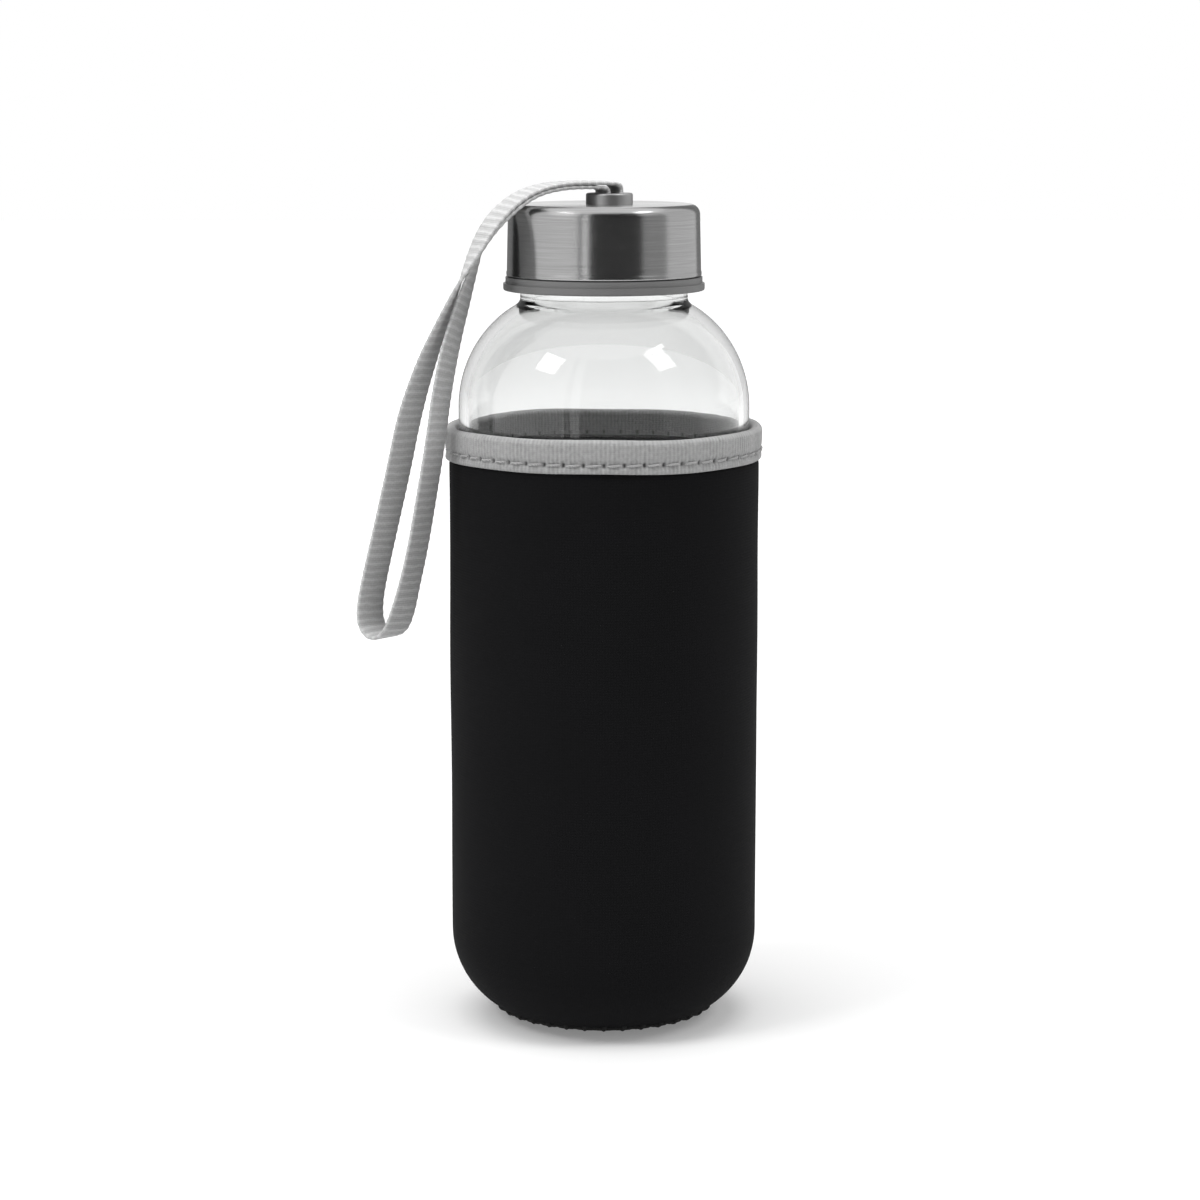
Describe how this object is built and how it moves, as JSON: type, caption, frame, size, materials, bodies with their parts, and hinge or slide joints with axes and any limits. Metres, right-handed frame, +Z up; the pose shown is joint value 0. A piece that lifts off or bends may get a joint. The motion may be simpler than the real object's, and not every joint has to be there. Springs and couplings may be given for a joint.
{
  "type": "water bottle",
  "caption": "Round-shouldered glass water bottle with a brushed steel screw cap, a webbing wrist strap and a dark foam-fabric sleeve edged with pale ribbed tape",
  "frame": {"origin": "middle of the flat base of the sleeve, on the surface it stands on", "axes": "+Z up along the bottle, -X towards the side where the strap hangs, -Y towards the front"},
  "size_m": [0.089, 0.0714, 0.1907],
  "materials": {
    "glass": "clear polished",
    "cap_steel": "brushed round the axis",
    "liner_plastic": "satin moulded",
    "silicone": "matte",
    "anchor_metal": "satin",
    "webbing": "ribbed woven",
    "neoprene": "knit-faced foam",
    "binding_tape": "ribbed knit tape",
    "seam_thread": "overlocked thread",
    "stitch_thread": "twisted thread"
  },
  "bodies": {
    "sleeve": {"sleeve_body": "neoprene", "sleeve_base": "neoprene", "base_seam": "seam_thread", "sleeve_binding": "binding_tape", "binding_stitch": "stitch_thread"},
    "bottle": {"glass_bottle": "glass"},
    "seal": {"cap_seal": "silicone"},
    "cap": {"cap_shell": "cap_steel", "cap_liner": "liner_plastic", "strap_anchor": "anchor_metal", "strap_tuck": "webbing", "wrist_strap": "webbing"}
  },
  "joints": [
    {"name": "bottle_lift", "type": "slide", "parent": "sleeve", "child": "bottle", "axis": [0, 0, 1], "range_m": [0, 0.14]},
    {"name": "cap_lift", "type": "slide", "parent": "bottle", "child": "seal", "axis": [0, 0, 1], "range_m": [0, 0.0053]},
    {"name": "cap_turn", "type": "hinge", "parent": "seal", "child": "cap", "pos_m": [0, 0, 0.175], "axis": [0, 0, 1], "range_deg": [0, 450]}
  ],
  "couplings": [
    {"joint": "cap_lift", "follows": "cap_turn", "m_per_rad": 0.00066845}
  ]
}
